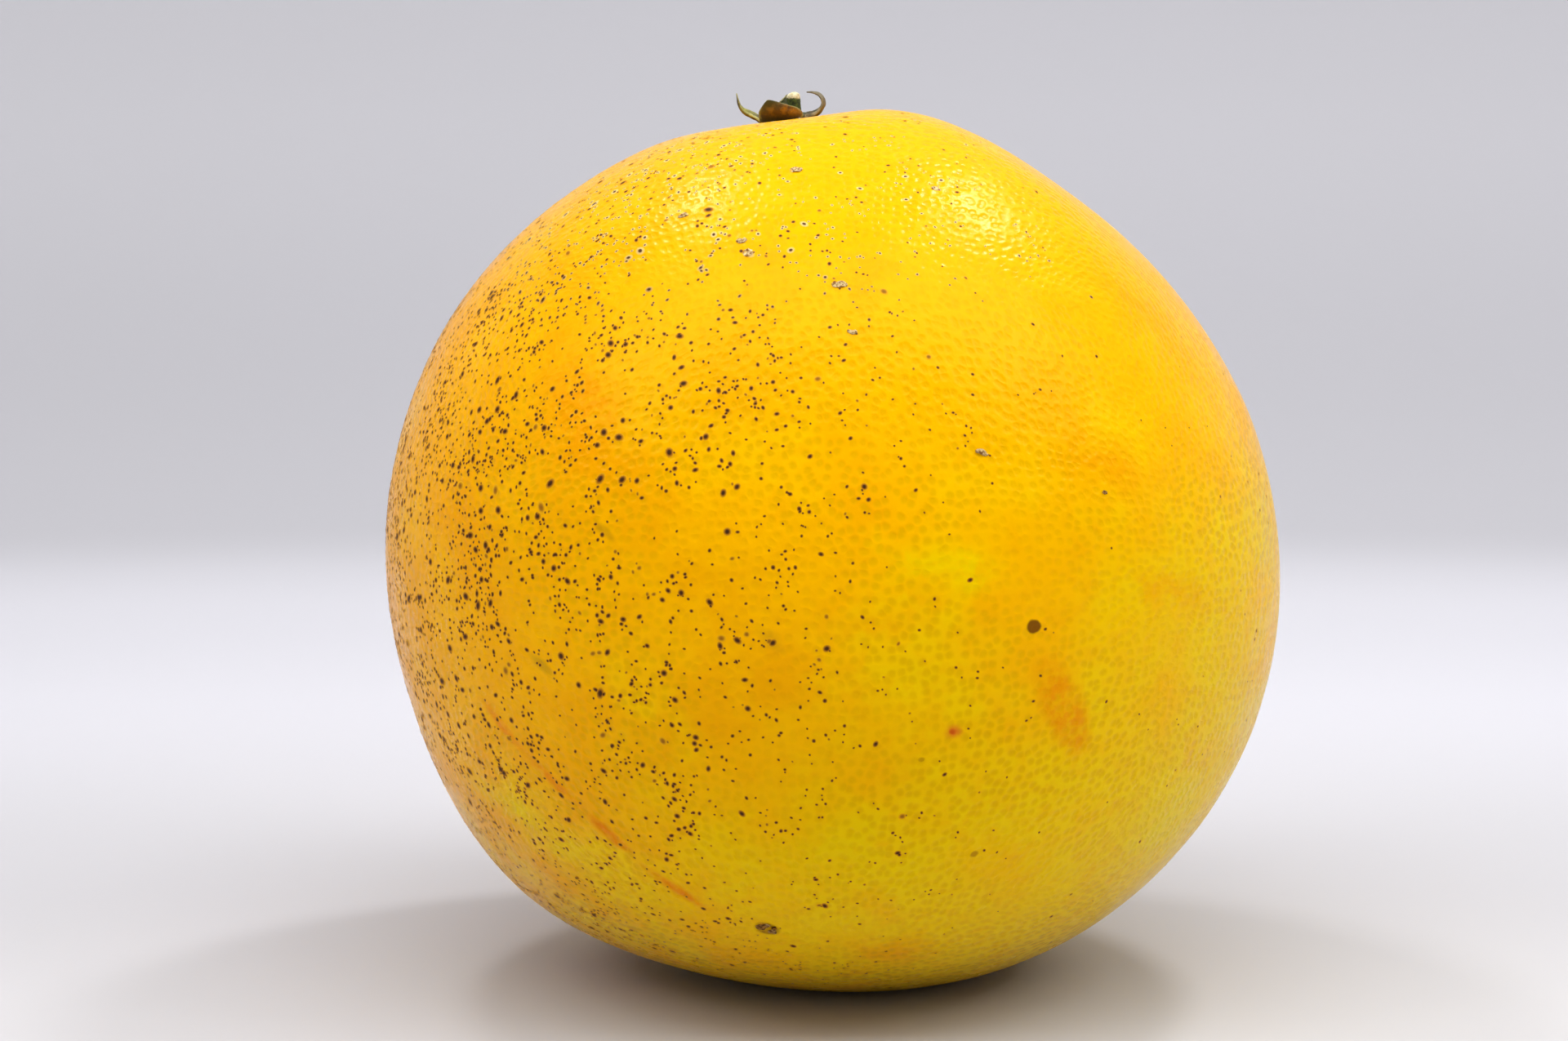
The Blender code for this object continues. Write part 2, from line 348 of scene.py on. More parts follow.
def cork_material():
    """Corky scab on citrus peel: wind-rubbed rind healed over as rough tan cork."""
    material, tree, shader, place = new_material("corky rind scab")
    tone = add(tree, "ShaderNodeAttribute", attribute_name="tone").outputs["Fac"]
    flakes = cloud(tree, place, 0.5, 4.0, 0.65)
    dark = mix(tree, fit(tree, flakes, 0.38, 0.62), "3E2208", "A87018")
    light = mix(tree, fit(tree, flakes, 0.38, 0.62), "8A5A20", "E8D09A")
    tree.links.new(mix(tree, tone, dark, light), shader.inputs["Base Color"])
    bump = add(tree, "ShaderNodeBump", {"Height": flakes, "Distance": 0.15 * MM, "Strength": 1.0})
    tree.links.new(bump.outputs[0], shader.inputs["Normal"])
    shader.inputs["Roughness"].default_value = 0.85
    shader.inputs["Specular IOR Level"].default_value = 0.15
    return material


def sepal_material(name, root, blade, mottled, rim, tip):
    """Dried citrus sepal: leathery, mottled as it browns, with a pale rim, a dark thin tip, and painted
    shade near the rind.
    """
    material, tree, shader, place = new_material(name)
    along = add(tree, "ShaderNodeAttribute", attribute_name="along").outputs["Fac"]
    edge = add(tree, "ShaderNodeAttribute", attribute_name="rim").outputs["Fac"]
    blotches = cloud(tree, place, 1.6, 3.0, 0.6)
    colour = mix(tree, fit(tree, blotches, 0.42, 0.62), blade, mottled)
    # Painted shade: the root colour darkens the lowest few millimetres, where the calyx sits in its hollow
    # on the rind.
    high = add(tree, "ShaderNodeSeparateXYZ", {0: place}).outputs["Z"]
    low = calc(tree, "ADD", high, calc(tree, "MULTIPLY", blotches, 1.2))
    seat = SEAT.z / MM
    colour = mix(tree, fit(tree, low, seat + 1.1, seat + 2.9, 1.0, 0.0), colour, root)
    colour = mix(tree, fit(tree, along, 0.72, 0.95), colour, tip)
    patchy = fit(tree, blotches, 0.40, 0.60, 0.15, 0.8)
    ragged = calc(tree, "MULTIPLY", fit(tree, edge, 0.45, 1.0), patchy)
    colour = mix(tree, ragged, colour, rim)
    tree.links.new(colour, shader.inputs["Base Color"])
    wrinkles = cloud(tree, place, 0.35, 3.0, 0.6)
    bump = add(tree, "ShaderNodeBump", {"Height": wrinkles, "Distance": 0.12 * MM, "Strength": 1.0})
    tree.links.new(bump.outputs[0], shader.inputs["Normal"])
    shader.inputs["Roughness"].default_value = 0.62
    return material


def stub_material():
    """Stub of a citrus stalk: dark green bark, and a dry cream scar where the stalk let go."""
    material, tree, shader, place = new_material("dry stalk with cream scar")
    high = add(tree, "ShaderNodeSeparateXYZ", {0: place}).outputs["Z"]
    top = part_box("stalk_stub")[1].z / MM
    ragged = calc(tree, "ADD", high, calc(tree, "MULTIPLY", cloud(tree, place, 0.5), 0.7))
    streaks = cloud(tree, place, 0.6, 3.0)
    bark = mix(tree, fit(tree, streaks, 0.35, 0.65), "28340A", "4C5C16")
    scar = mix(tree, fit(tree, streaks, 0.35, 0.65), "E4DBB4", "B9A877")
    colour = mix(tree, fit(tree, ragged, top - 0.85, top - 0.55), bark, scar)
    tree.links.new(colour, shader.inputs["Base Color"])
    bump = add(tree, "ShaderNodeBump", {"Height": streaks, "Distance": 0.15 * MM, "Strength": 1.0})
    tree.links.new(bump.outputs[0], shader.inputs["Normal"])
    shader.inputs["Roughness"].default_value = 0.75
    return material


def paper_material(name):
    """Matt seamless paper without gloss, whiter in front, with painted shade and light: darker from under
    the fruit to just behind it, lighter again further back, and greyer where it rises.
    """
    material, tree, shader, place = new_material(name)
    parts = add(tree, "ShaderNodeSeparateXYZ", {0: place})
    near = mix(tree, fit(tree, parts.outputs["Y"], -400.0, -50.0), "E4E4E6", "C8C7CA")
    # Painted shade: a darker band from under the fruit to just behind it.
    under = mix(tree, fit(tree, parts.outputs["Y"], -40.0, 60.0), near, "C0BFC3")
    # Painted light: lighter again further back, where the rear lamps fall.
    floor = mix(tree, fit(tree, parts.outputs["Y"], 90.0, 260.0), under, "CDCCD2")
    # Painted shade: greyer where the paper rises into the wall, and lighter again higher up.
    rise = mix(tree, fit(tree, parts.outputs["Z"], 0.5, 12.0), floor, "B8B7BC")
    colour = mix(tree, fit(tree, parts.outputs["Z"], 35.0, 130.0), rise, "C3C2C7")
    tree.links.new(colour, shader.inputs["Base Color"])
    shader.inputs["Roughness"].default_value = 0.9
    shader.inputs["Specular IOR Level"].default_value = 0.1
    return material


# Marks on the rind: colour, strength, first end, second end, width in millimetres, softness.
# An end is a longitude and a latitude.
FLUSHES = (
    ("F49A00", 0.80, (-131, 31), (-120, 14), 24.0, 0.95),  # deep yellow flush, upper left
    ("F49E00", 0.70, (-148, 12), (-136, -4), 20.0, 0.95),
    ("F6A400", 0.70, (-86, 52), (-86, 32), 11.0, 0.95),
    ("F4A200", 0.75, (-64, 28), (-48, 12), 18.0, 0.95),
    ("F4A200", 0.55, (-40, 46), (-30, 26), 16.0, 0.95),
    ("F4A600", 0.60, (-112, 7), (-98, -6), 12.0, 0.95),
    ("F4A600", 0.60, (-92, -1), (-78, -2), 7.0, 0.95),
    ("F4A800", 0.60, (-52, 4), (-38, -4), 10.0, 0.95),
    ("EFD400", 0.50, (-84, 9), (-70, 3), 13.0, 0.95),  # greener yellow
    ("ECD200", 0.60, (-40, -24), (-28, -36), 24.0, 0.95),
    ("EED000", 0.50, (-150, -26), (-138, -30), 14.0, 0.95),
    ("EED000", 0.40, (-110, -30), (-70, -34), 26.0, 0.95),
    ("F2A400", 0.60, (70, 40), (96, 22), 26.0, 0.95),  # flushes on the far side
    ("F2A200", 0.55, (14, 10), (30, -12), 20.0, 0.95),
    ("EFD000", 0.50, (130, -10), (150, -30), 26.0, 0.95),
)
STAINS = (
    ("EE8C00", 0.85, (-141, -13), (-133, -21), 3.2, 0.9),  # long rub down the lower left
    ("EE8A00", 0.85, (-135, -19), (-126, -27), 3.4, 0.9),
    ("EA8000", 0.90, (-127, -26), (-119, -34), 3.4, 0.9),
    ("EE8A00", 0.85, (-121, -33), (-107, -44), 3.6, 0.9),
    ("F09600", 0.85, (-65, -6), (-57.5, -19), 9.5, 0.7),  # orange blotch on the right
    ("EC9000", 0.30, (-60, -13), (-57.5, -18), 5.5, 0.9),
    ("E0701C", 0.85, (-76.1, -14.6), (-75.6, -14.6), 3.2, 0.95),  # red dot and its halo
    ("C8400C", 0.80, (-76.1, -14.6), (-76.0, -14.6), 1.2, 0.8),
    ("74400A", 0.95, (-66.2, -2.1), (-66.0, -2.1), 2.4, 0.3),  # round brown spot
    ("8E5A08", 0.85, (-102.1, -45.0), (-101.4, -45.2), 4.2, 0.45),  # stained rind under the scab
    ("A66C0A", 0.70, (-70.5, -32.0), (-70.3, -32.0), 1.7, 0.5),
    ("B47A08", 0.60, (-79.7, -18.0), (-79.6, -18.0), 1.2, 0.5),
    ("FFD428", 0.35, (-33, 26), (-22, 10), 4.5, 0.95),  # pale streak on the right flank
    ("F3B000", 0.70, (-44, 24), (-33, 12), 9.0, 0.9),
    ("B88A10", 0.55, (-130, -7), (-127, -9), 2.6, 0.7),  # smudges among the pinpricks
    ("B4820C", 0.50, (-121, 10), (-118, 8), 2.2, 0.7),
    ("C89410", 0.45, (-99, -2), (-97, -4), 3.4, 0.8),
)

# Corky scabs: longitude, latitude, length and width in millimetres, tone from brown 0 to pale 1.
SCABS = (
    (-102.6, -44.6, 1.9, 1.4, 0.1),
    (-101.0, -45.6, 1.5, 1.2, 0.3),
    (-101.6, -44.2, 1.1, 0.8, 0.5),
    (-100.6, -44.7, 0.9, 0.8, 0.0),
    (-71.6, 19.0, 2.2, 1.0, 0.7),
    (-54.8, 13.2, 1.0, 0.5, 0.2),
    (-100.8, 62.6, 2.2, 1.3, 0.9),
    (-105.9, 46.4, 1.8, 1.6, 1.0),
    (-89.7, 41.7, 2.4, 1.2, 0.8),
    (-107.8, 48.3, 1.7, 1.0, 0.8),
    (-88.0, 34.9, 1.6, 0.9, 0.8),
    (-122.0, 52.0, 1.6, 1.1, 0.8),
    (-66.0, 58.0, 1.5, 0.8, 0.9),
    (140.0, 20.0, 3.2, 1.8, 0.1),
    (60.0, -12.0, 2.6, 1.5, 0.3),
    (95.0, 44.0, 2.4, 1.3, 0.8),
    (30.0, 50.0, 1.8, 1.0, 0.9),
    (165.0, -30.0, 2.8, 1.6, 0.0),
)


# ---------------------------------------------------------------- Geometry Nodes

def start_tree(name, inputs):
    """Geometry Nodes tree with a geometry input and output, and its own named inputs."""
    tree = bpy.data.node_groups.new(name, "GeometryNodeTree")
    tree.interface.new_socket("Geometry", in_out="INPUT", socket_type="NodeSocketGeometry")
    for label, kind in inputs.items():
        tree.interface.new_socket(label, in_out="INPUT", socket_type="NodeSocket" + kind)
    tree.interface.new_socket("Geometry", in_out="OUTPUT", socket_type="NodeSocketGeometry")
    return tree, add(tree, "NodeGroupInput").outputs


def close_tree(tree, geometry, given):
    """End a tree: instances made real, material set."""
    real = add(tree, "GeometryNodeRealizeInstances", {"Geometry": geometry})
    sockets = {"Geometry": real.outputs[0], "Material": given["Material"]}
    dressed = add(tree, "GeometryNodeSetMaterial", sockets)
    add(tree, "NodeGroupOutput", {"Geometry": dressed.outputs[0]})


def run_tree(name, tree, mesh, values):
    """Grow a new piece from a mesh with a tree, as a plain mesh at the origin."""
    piece = link_object(name, mesh)
    modifier = piece.modifiers.new("grow", "NODES")
    modifier.node_group = tree
    for item in tree.interface.items_tree:
        if item.in_out == "INPUT" and item.name in values:
            modifier[item.identifier] = values[item.name]
    evaluated = piece.evaluated_get(bpy.context.evaluated_depsgraph_get())
    grown = bpy.data.meshes.new_from_object(evaluated)
    piece.modifiers.remove(modifier)
    piece.data = grown
    grown.name = name
    grown.materials.clear()
    grown.materials.append(values["Material"])
    grown.polygons.foreach_set("material_index", [0] * len(grown.polygons))
    return piece


def read_vector(tree, name):
    """Output of a vector stored under a name."""
    kind = "GeometryNodeInputNamedAttribute"
    return add(tree, kind, {"Name": name}, data_type="FLOAT_VECTOR").outputs[0]


def chance_between(tree, least, most, seed):
    """Output of a random number for each point."""
    sockets = {2: least, 3: most, "Seed": seed}
    return add(tree, "FunctionNodeRandomValue", sockets, data_type="FLOAT").outputs[1]


def skin_tree():
    """Tree that blows a cube up onto the fruit's form, which it first rounds, and unsettles it."""
    inputs = {
        "Squares": "Int",
        "Middle": "Vector",
        "Unevenness": "Float",
        "Unevenness size": "Float",
        "Material": "Material",
    }
    tree, given = start_tree("grow the skin", inputs)
    rounded = add(tree, "GeometryNodeSubdivisionSurface", {"Mesh": given["Geometry"], "Level": 3})
    corners = add(tree, "ShaderNodeMath", {0: given["Squares"], 1: 1.0}, operation="ADD").outputs[0]
    sockets = {"Size": (2.0, 2.0, 2.0), "Vertices X": corners, "Vertices Y": corners, "Vertices Z": corners}
    cube = add(tree, "GeometryNodeMeshCube", sockets)
    at = add(tree, "GeometryNodeInputPosition").outputs[0]
    quarter = add(tree, "ShaderNodeVectorMath", {0: at, "Scale": math.pi / 4.0}, operation="SCALE")
    even = add(tree, "ShaderNodeVectorMath", {0: quarter.outputs[0]}, operation="TANGENT")
    outward = add(tree, "ShaderNodeVectorMath", {0: even.outputs[0]}, operation="NORMALIZE").outputs[0]
    sockets = {
        "Target Geometry": rounded.outputs[0],
        "Source Position": given["Middle"],
        "Ray Direction": outward,
        "Ray Length": 1.0,
    }
    hit = add(tree, "GeometryNodeRaycast", sockets).outputs["Hit Position"]
    per_size = add(tree, "ShaderNodeMath", {0: 1.0, 1: given["Unevenness size"]}, operation="DIVIDE")
    sockets = {"Vector": hit, "Scale": per_size.outputs[0], "Detail": 3.0, "Roughness": 0.5}
    swell = add(tree, "ShaderNodeTexNoise", sockets).outputs[0]
    centred = add(tree, "ShaderNodeMath", {0: swell, 1: 0.5}, operation="SUBTRACT").outputs[0]
    doubled = add(tree, "ShaderNodeMath", {0: given["Unevenness"], 1: 2.0}, operation="MULTIPLY")
    height = add(tree, "ShaderNodeMath", {0: centred, 1: doubled.outputs[0]}, operation="MULTIPLY")
    level = add(tree, "ShaderNodeSeparateXYZ", {0: hit}).outputs["Z"]
    off_floor = fit(tree, level, 0.5 * MM, 9.0 * MM)
    rise = add(tree, "ShaderNodeMath", {0: height.outputs[0], 1: off_floor}, operation="MULTIPLY")
    shift = add(tree, "ShaderNodeVectorMath", {0: outward, "Scale": rise.outputs[0]}, operation="SCALE")
    end = add(tree, "ShaderNodeVectorMath", {0: hit, 1: shift.outputs[0]}, operation="ADD")
    sockets = {"Geometry": cube.outputs["Mesh"], "Position": end.outputs[0]}
    moved = add(tree, "GeometryNodeSetPosition", sockets)
    smooth = add(tree, "GeometryNodeSetShadeSmooth", {0: moved.outputs[0]})
    close_tree(tree, smooth.outputs[0], given)
    return tree


def speck_tree():
    """Tree that strews pinpricks on the skin: single ones, and short chains of them."""
    inputs = {
        "Middle": "Vector",
        "Speckled side": "Vector",
        "Per square metre": "Float",
        "Stray per square metre": "Float",
        "Smallest": "Float",
        "Seed": "Int",
        "Material": "Material",
    }
    tree, given = start_tree("strew pinpricks", inputs)
    at = add(tree, "GeometryNodeInputPosition").outputs[0]
    from_middle = add(tree, "ShaderNodeVectorMath", {0: at, 1: given["Middle"]}, operation="SUBTRACT")
    toward = add(tree, "ShaderNodeVectorMath", {0: from_middle.outputs[0]}, operation="NORMALIZE")
    sockets = {0: toward.outputs[0], 1: given["Speckled side"]}
    facing = add(tree, "ShaderNodeVectorMath", sockets, operation="DOT_PRODUCT").outputs["Value"]
    upward = add(tree, "ShaderNodeSeparateXYZ", {0: toward.outputs[0]}).outputs["Z"]
    crown = calc(tree, "MULTIPLY", calc(tree, "MAXIMUM", upward, 0.0), CROWN_SHARE)
    sockets = {"Value": calc(tree, "ADD", facing, crown), "From Min": -0.12, "From Max": 1.0}
    share = add(tree, "ShaderNodeMapRange", sockets).outputs[0]
    crowding = calc(tree, "POWER", share, 1.6)
    patches = add(tree, "ShaderNodeTexNoise", {"Vector": at, "Scale": 1.0 / SPECK_PATCH, "Detail": 3.0})
    crowding = calc(tree, "MULTIPLY", crowding, fit(tree, patches.outputs[0], 0.36, 0.66, 0.35, 1.9))
    crowding = calc(tree, "MULTIPLY", crowding, given["Per square metre"])
    single = calc(tree, "MULTIPLY", crowding, SINGLE_SHARE)
    density = calc(tree, "ADD", single, given["Stray per square metre"])

    sockets = {"Mesh": given["Geometry"], "Density": density, "Seed": given["Seed"]}
    singles = add(tree, "GeometryNodeDistributePointsOnFaces", sockets).outputs["Points"]

    sockets["Density"] = calc(tree, "MULTIPLY", crowding, CHAIN_SHARE)
    sockets["Seed"] = calc(tree, "ADD", given["Seed"], 1.0)
    starts = add(tree, "GeometryNodeDistributePointsOnFaces", sockets)
    sockets = {0: (-1.0, -1.0, -1.0), 1: (1.0, 1.0, 1.0), "Seed": 5}
    heading = add(tree, "FunctionNodeRandomValue", sockets, data_type="FLOAT_VECTOR").outputs[0]
    sockets = {0: heading, 1: toward.outputs[0]}
    across = add(tree, "ShaderNodeVectorMath", sockets, operation="CROSS_PRODUCT")
    across = add(tree, "ShaderNodeVectorMath", {0: across.outputs[0]}, operation="NORMALIZE").outputs[0]
    sockets = {"Geometry": starts.outputs["Points"], "Name": "chain", "Value": across}
    starts = add(tree, "GeometryNodeStoreNamedAttribute", sockets, data_type="FLOAT_VECTOR").outputs[0]
    links = add(tree, "FunctionNodeRandomValue", {4: 3, 5: 8, "Seed": 6}, data_type="INT").outputs[2]
    sockets = {"Geometry": starts, "Amount": links}
    chains = add(tree, "GeometryNodeDuplicateElements", sockets, domain="POINT")
    chain = read_vector(tree, "chain")
    number = chains.outputs["Duplicate Index"]
    step = calc(tree, "MULTIPLY", calc(tree, "SUBTRACT", number, 2.5), CHAIN_STEP)
    run = add(tree, "ShaderNodeVectorMath", {0: chain, "Scale": step}, operation="SCALE").outputs[0]
    sockets = {0: [-CHAIN_JITTER] * 3, 1: [CHAIN_JITTER] * 3, "Seed": 7}
    jitter = add(tree, "FunctionNodeRandomValue", sockets, data_type="FLOAT_VECTOR").outputs[0]
    offset = add(tree, "ShaderNodeVectorMath", {0: run, 1: jitter}, operation="ADD").outputs[0]
    sockets = {"Geometry": chains.outputs[0], "Offset": offset}
    chains = add(tree, "GeometryNodeSetPosition", sockets).outputs[0]

    points = add(tree, "GeometryNodeJoinGeometry")
    tree.links.new(singles, points.inputs[0])
    tree.links.new(chains, points.inputs[0])
    nearest = add(tree, "GeometryNodeProximity", {0: given["Geometry"]}, target_element="FACES")
    facing_out = add(tree, "GeometryNodeInputNormal").outputs[0]
    sockets = {"Mesh": given["Geometry"], "Value": facing_out}
    normal = add(tree, "GeometryNodeSampleNearestSurface", sockets, data_type="FLOAT_VECTOR").outputs[0]
    proud = add(tree, "ShaderNodeVectorMath", {0: normal, "Scale": SPECK_LIFT}, operation="SCALE")
    rest = add(tree, "ShaderNodeVectorMath", {0: nearest.outputs[0], 1: proud.outputs[0]}, operation="ADD")
    sockets = {"Geometry": points.outputs[0], "Position": rest.outputs[0]}
    points = add(tree, "GeometryNodeSetPosition", sockets).outputs[0]

    # One pinprick: a very low cone, which carries how far out each point is.
    sockets = {"Vertices": 10, "Side Segments": 1, "Fill Segments": 1, "Radius Bottom": 0.5, "Depth": 0.05}
    cone = add(tree, "GeometryNodeMeshCone", sockets, fill_type="NGON").outputs["Mesh"]
    flat = add(tree, "ShaderNodeVectorMath", {0: at, 1: (2.0, 2.0, 0.0)}, operation="MULTIPLY")
    far = add(tree, "ShaderNodeVectorMath", {0: flat.outputs[0]}, operation="LENGTH").outputs["Value"]
    sockets = {"Geometry": cone, "Name": "outward", "Value": far}
    cone = add(tree, "GeometryNodeStoreNamedAttribute", sockets, data_type="FLOAT").outputs[0]

    chance = chance_between(tree, 0.0, 1.0, 8)
    usual = calc(tree, "MULTIPLY", calc(tree, "POWER", chance, 2.4), USUAL_GROWTH)
    rare = calc(tree, "MULTIPLY", calc(tree, "POWER", chance, 30.0), RARE_GROWTH)
    wide = calc(tree, "ADD", calc(tree, "ADD", usual, rare), given["Smallest"])
    wide = calc(tree, "MULTIPLY", wide, fit(tree, share, 0.2, 1.0, 1.1, 1.55))
    long = calc(tree, "MULTIPLY", wide, chance_between(tree, 1.0, 1.5, 9))
    scale = add(tree, "ShaderNodeCombineXYZ", {0: long, 1: wide, 2: wide}).outputs[0]
    upright = add(tree, "FunctionNodeAlignRotationToVector", {"Vector": normal}, axis="Z").outputs[0]
    spin = chance_between(tree, 0.0, math.tau, 10)
    spun = add(tree, "FunctionNodeAxisAngleToRotation", {"Axis": (0.0, 0.0, 1.0), "Angle": spin}).outputs[0]
    sockets = {"Rotation": upright, "Rotate By": spun}
    turned = add(tree, "FunctionNodeRotateRotation", sockets, rotation_space="LOCAL").outputs[0]
    sockets = {"Points": points, "Instance": cone, "Rotation": turned, "Scale": scale}
    specks = add(tree, "GeometryNodeInstanceOnPoints", sockets).outputs[0]
    sockets = {"Geometry": specks, "Name": "tone", "Value": chance_between(tree, 0.0, 1.0, 11)}
    kept = {"data_type": "FLOAT", "domain": "INSTANCE"}
    specks = add(tree, "GeometryNodeStoreNamedAttribute", sockets, **kept).outputs[0]
    close_tree(tree, specks, given)
    return tree


def scab_tree():
    """Tree that swells a low, lumpy scab at each point, sized and turned by its attributes."""
    tree, given = start_tree("heal scabs", {"Roughness": "Float", "Material": "Material"})
    ball = add(tree, "GeometryNodeMeshIcoSphere", {"Radius": 1.0, "Subdivisions": 4}).outputs["Mesh"]
    normal = read_vector(tree, "out")
    turned = add(tree, "FunctionNodeAlignRotationToVector", {"Vector": normal}, axis="Z").outputs[0]
    sockets = {"Points": given["Geometry"], "Instance": ball, "Rotation": turned}
    sockets["Scale"] = read_vector(tree, "size")
    scabs = add(tree, "GeometryNodeInstanceOnPoints", sockets).outputs[0]
    real = add(tree, "GeometryNodeRealizeInstances", {"Geometry": scabs}).outputs[0]
    at = add(tree, "GeometryNodeInputPosition").outputs[0]
    lumps = add(tree, "ShaderNodeTexNoise", {"Vector": at, "Scale": 1.0 / SCAB_LUMPS, "Detail": 4.0})
    sockets = {0: lumps.outputs["Color"], 1: [0.5] * 3}
    centred = add(tree, "ShaderNodeVectorMath", sockets, operation="SUBTRACT").outputs[0]
    offset = add(tree, "ShaderNodeVectorMath", {0: centred, "Scale": given["Roughness"]}, operation="SCALE")
    lumpy = add(tree, "GeometryNodeSetPosition", {"Geometry": real, "Offset": offset.outputs[0]}).outputs[0]
    smooth = add(tree, "GeometryNodeSetShadeSmooth", {0: lumpy}).outputs[0]
    close_tree(tree, smooth, given)
    return tree


# ---------------------------------------------------------------- pieces

def quads_from(node):
    """Merged copy of a CAD node's triangles, joined back into the quads they came from."""
    mesh = bpy.data.meshes.new(node + "_form")
    joined = bmesh.new()
    joined.from_mesh(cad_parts[node].data)
    bmesh.ops.remove_doubles(joined, verts=joined.verts[:], dist=0.001 * MM)
    bmesh.ops.join_triangles(
        joined,
        faces=joined.faces[:],
        angle_face_threshold=math.radians(30),
        angle_shape_threshold=math.radians(50),
    )
    joined.to_mesh(mesh)
    joined.free()
    return mesh


def lay_out_skin(mesh):
    """UV map of the skin: its six sides side by side, three across and two up."""
    layer = mesh.uv_layers.new(name="OFBake")
    corners = np.empty(len(mesh.loops), np.int32)
    mesh.loops.foreach_get("vertex_index", corners)
    places = np.empty(len(mesh.vertices) * 3)
    mesh.vertices.foreach_get("co", places)
    outward = places.reshape(-1, 3) - np.array(MIDDLE)
    first = np.empty(len(mesh.polygons), np.int32)
    mesh.polygons.foreach_get("loop_start", first)
    count = np.empty(len(mesh.polygons), np.int32)
    mesh.polygons.foreach_get("loop_total", count)
    here = outward[corners]
    centres = np.add.reduceat(here, first) / count[:, None]
    side = np.argmax(np.abs(centres), axis=1)
    axis = np.repeat(side, count)
    positive = np.repeat(centres[np.arange(len(centres)), side] > 0, count)
    rows = np.arange(len(corners))
    depth = np.abs(here[rows, axis])
    across = np.arctan(here[rows, (axis + 1) % 3] / depth) / (math.pi / 2.0) + 0.5
    upward = np.arctan(here[rows, (axis + 2) % 3] / depth) / (math.pi / 2.0) + 0.5
    across = np.where(positive, across, 1.0 - across)
    margin = 0.012  # of a side, left free round it
    across = margin + (1.0 - 2.0 * margin) * across
    upward = margin + (1.0 - 2.0 * margin) * upward
    layout = np.stack([(axis + across) / 3.0, (positive + upward) / 2.0], axis=1)
    layer.data.foreach_set("uv", layout.astype(np.float32).ravel())


def make_skin(material):
    """The rind: a fine even skin over the fruit's form."""
    values = {
        "Squares": SKIN_SQUARES,
        "Middle": MIDDLE,
        "Unevenness": UNEVENNESS,
        "Unevenness size": UNEVENNESS_SIZE,
        "Material": material,
    }
    skin = run_tree("rind", skin_tree(), quads_from("fruit"), values)
    lay_out_skin(skin.data)
    return skin


def make_specks(skin, material):
    """Thousands of pinpricks on the rind."""
    values = {
        "Middle": MIDDLE,
        "Speckled side": SPECKLED_SIDE,
        "Per square metre": SPECKS_PER_CM2 * SQUARE_CM_PER_SQUARE_M,
        "Stray per square metre": STRAY_SPECKS_PER_CM2 * SQUARE_CM_PER_SQUARE_M,
        "Smallest": SMALLEST_SPECK,
        "Seed": 4,
        "Material": material,
    }
    return run_tree("pinpricks", speck_tree(), skin.data, values)


def make_scabs(material):
    """Corky scabs, half sunk in the rind."""
    points = bpy.data.meshes.new("scab_points")
    spots = [on_skin(longitude, latitude) for longitude, latitude, _, _, _ in SCABS]
    points.from_pydata([point for point, _ in spots], [], [])
    thick = 0.5 * SCAB_THICKNESS
    sizes = [(0.5 * length * MM, 0.5 * width * MM, thick) for _, _, length, width, _ in SCABS]
    normals = [tuple(normal) for _, normal in spots]
    for label, vectors in (("size", sizes), ("out", normals)):
        kept = points.attributes.new(label, "FLOAT_VECTOR", "POINT")
        kept.data.foreach_set("vector", np.ravel(vectors))
    tones = [tone for _, _, _, _, tone in SCABS]
    points.attributes.new("tone", "FLOAT", "POINT").data.foreach_set("value", tones)
    values = {"Roughness": SCAB_LUMPS, "Material": material}
    return run_tree("corky_scabs", scab_tree(), points, values)


def refine(node, material, tilt):
    """Finished copy of a calyx solid: rounded, wrinkled, and marked with its rim and its length.

    tilt leans a sepal's blade to the front, more so away from its root.
    """
    mesh = quads_from(node)
    shape = bmesh.new()
    shape.from_mesh(mesh)
    rim = shape.verts.layers.float.new("rim")
    along = shape.verts.layers.float.new("along")
    reach = max((vertex.co - SEAT).length for vertex in shape.verts)
    crease = shape.edges.layers.float.new("crease_edge")
    for edge in shape.edges:
        edge[crease] = 0.75 if edge.calc_face_angle(0.0) > math.radians(40) else 0.0
    for vertex in shape.verts:
        sharpest = max((edge.calc_face_angle(0.0) for edge in vertex.link_edges), default=0.0)
        vertex[rim] = 1.0 if sharpest > math.radians(55) else 0.0
        vertex[along] = (vertex.co - SEAT).length / reach
    shape.to_mesh(mesh)
    shape.free()
    piece = link_object(node + "_dried", mesh)
    rounding = piece.modifiers.new("rounding", "SUBSURF")
    rounding.levels = 2
    rounding.render_levels = 2
    evaluated = piece.evaluated_get(bpy.context.evaluated_depsgraph_get())
    piece.data = bpy.data.meshes.new_from_object(evaluated)
    piece.modifiers.remove(rounding)
    mesh = piece.data
    mesh.materials.clear()
    mesh.materials.append(material)
    normals = [vertex.normal.copy() for vertex in mesh.vertices]
    along = [value.value for value in mesh.attributes["along"].data]
    across = sum(vertex.co.y for vertex in mesh.vertices) / len(mesh.vertices)
    for vertex, normal in zip(mesh.vertices, normals):
        ripple = noise.noise(vertex.co / (0.9 * MM)) + 0.5 * noise.noise(vertex.co / (0.4 * MM))
        vertex.co += normal * ripple * WRINKLING
        vertex.co.z += tilt * (vertex.co.y - across) - SINKING * (1.0 - along[vertex.index])
        ground, _, _, gap = FRUIT_FORM.find_nearest(vertex.co)
        if gap < SETTLING:
            vertex.co += (ground - vertex.co) * 0.7 * (1.0 - gap / SETTLING)
    mesh.shade_smooth()
    return piece


# ---------------------------------------------------------------- studio

